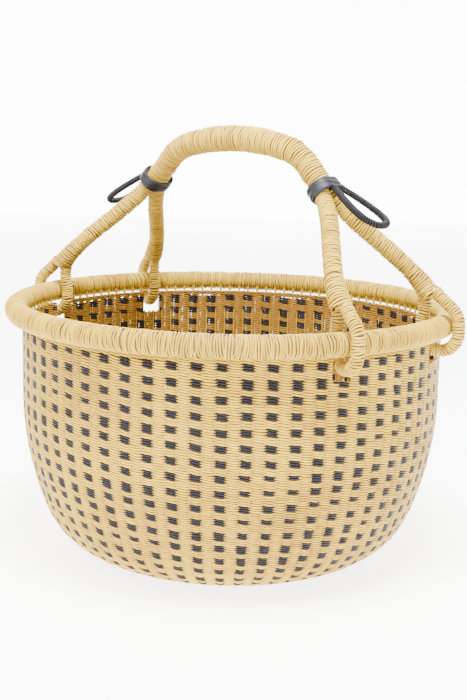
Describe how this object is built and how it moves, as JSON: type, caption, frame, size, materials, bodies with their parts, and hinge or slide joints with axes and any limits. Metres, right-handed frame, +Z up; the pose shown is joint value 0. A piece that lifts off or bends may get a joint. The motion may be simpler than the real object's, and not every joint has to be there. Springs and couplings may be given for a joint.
{
  "type": "market basket",
  "caption": "Round market basket woven from straw, with a wrapped rim, an arched handle on four legs that loop round the rim, leather collars and hanging loops.",
  "frame": {"origin": "on the ground under the middle of the base", "axes": "+Z up through the mouth; +X along the handle, towards its right end; +Y across the handle, towards the back"},
  "size_m": [0.4192, 0.418, 0.394],
  "materials": {
    "weave_straw": "woven natural and dark dyed straw, dry",
    "rim_straw": "tightly wrapped natural straw, slight sheen",
    "handle_straw": "tightly wrapped natural straw, slight sheen",
    "core_grass": "bundled dry grass",
    "dyed_straw": "straw cord dyed near black, dry",
    "collar_leather": "worn black leather, satin"
  },
  "bodies": {
    "basket": {"base_start": "weave_straw", "base_weave": "weave_straw", "side_weave": "weave_straw", "border_twine": "weave_straw", "stake_ends": "weave_straw", "rim_core": "core_grass", "rim_wrap": "rim_straw"},
    "handle": {"grip_core": "core_grass", "grip_wrap": "handle_straw", "leg_core_front_right": "core_grass", "leg_core_back_right": "core_grass", "leg_core_back_left": "core_grass", "leg_core_front_left": "core_grass", "leg_wrap_front_right": "handle_straw", "leg_wrap_back_right": "handle_straw", "leg_wrap_back_left": "handle_straw", "leg_wrap_front_left": "handle_straw", "loop_core_front_right": "core_grass", "loop_core_back_right": "core_grass", "loop_core_back_left": "core_grass", "loop_core_front_left": "core_grass", "loop_wrap_front_right": "handle_straw", "loop_wrap_back_right": "handle_straw", "loop_wrap_back_left": "handle_straw", "loop_wrap_front_left": "handle_straw", "collar_right": "collar_leather", "collar_left": "collar_leather"},
    "right_loop": {"hanging_loop_right": "dyed_straw"},
    "left_loop": {"hanging_loop_left": "dyed_straw"}
  },
  "joints": [
    {"name": "handle_rock", "type": "hinge", "parent": "basket", "child": "handle", "pos_m": [0, 0, 0.226], "axis": [1, 0, 0], "range_deg": [-3, 3]},
    {"name": "right_loop_lift", "type": "hinge", "parent": "handle", "child": "right_loop", "pos_m": [0.12049, 0, 0.34405], "axis": [0, -1, 0], "range_deg": [-6, 25], "stiffness_Nm_per_rad": 0.01},
    {"name": "left_loop_lift", "type": "hinge", "parent": "handle", "child": "left_loop", "pos_m": [-0.12049, 0, 0.34405], "axis": [0, 1, 0], "range_deg": [-6, 25], "stiffness_Nm_per_rad": 0.01}
  ]
}
